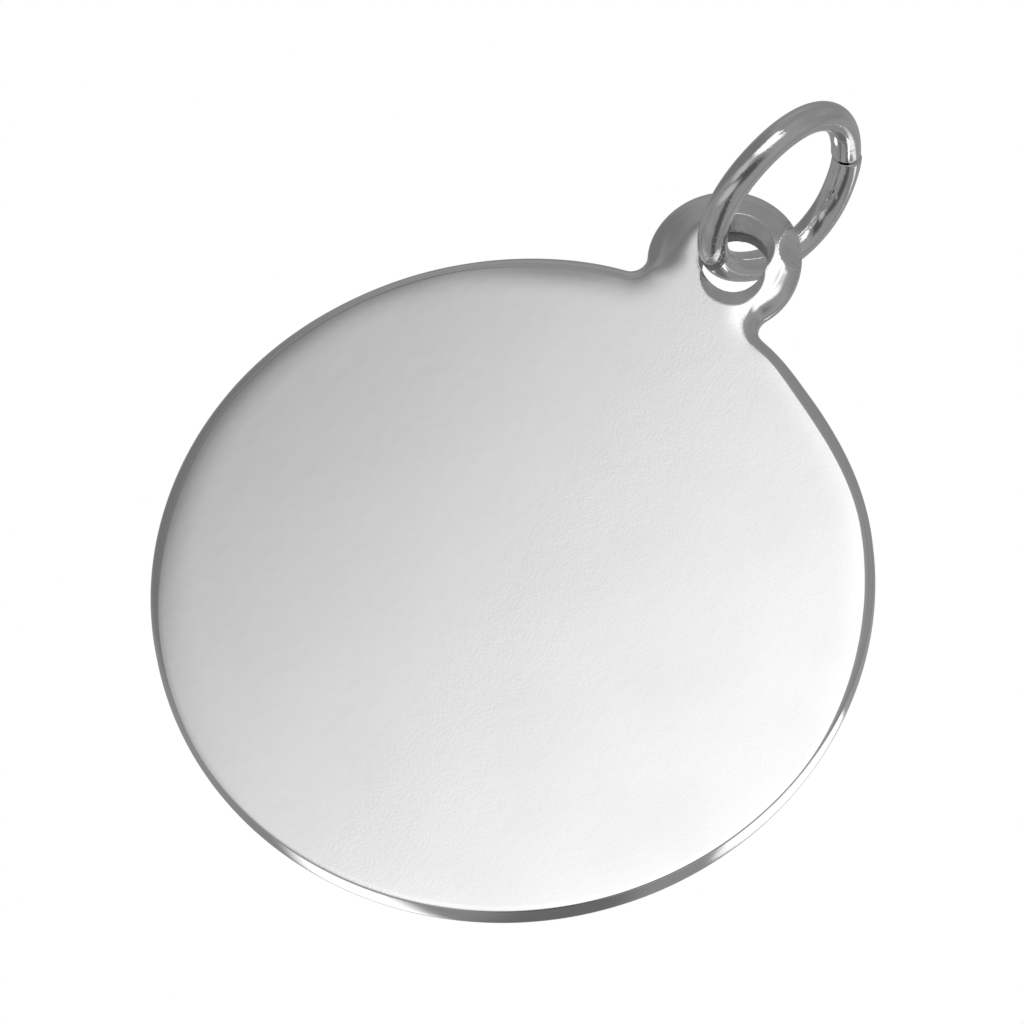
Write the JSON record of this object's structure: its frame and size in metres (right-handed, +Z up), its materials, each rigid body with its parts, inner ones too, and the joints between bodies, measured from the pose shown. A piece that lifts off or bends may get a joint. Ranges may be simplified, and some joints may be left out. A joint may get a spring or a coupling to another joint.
{
  "type": "disc pendant",
  "caption": "Plain polished round disc pendant with a drilled ear on its rim, hanging from a cut jump ring of round wire.",
  "frame": {"origin": "top of the jump ring's opening, where a chain or a bail carries the pendant", "axes": "+Z up, the disc hangs below the origin; the disc's face looks along -Y; +X runs to the right across the face"},
  "size_m": [0.019, 0.0056, 0.0253],
  "materials": {
    "disc_silver": "polished sterling silver sheet with a faint grain and fine handling marks",
    "ring_silver": "mirror polished sterling silver wire"
  },
  "bodies": {
    "ring": {"jump_ring": "ring_silver"},
    "disc": {"disc_with_ear": "disc_silver"}
  },
  "joints": [
    {"name": "disc_swing", "type": "hinge", "parent": "ring", "child": "disc", "pos_m": [-0.00058, 0.00091, -0.00406], "axis": [0, 1, 0], "range_deg": [-103, 120]}
  ]
}
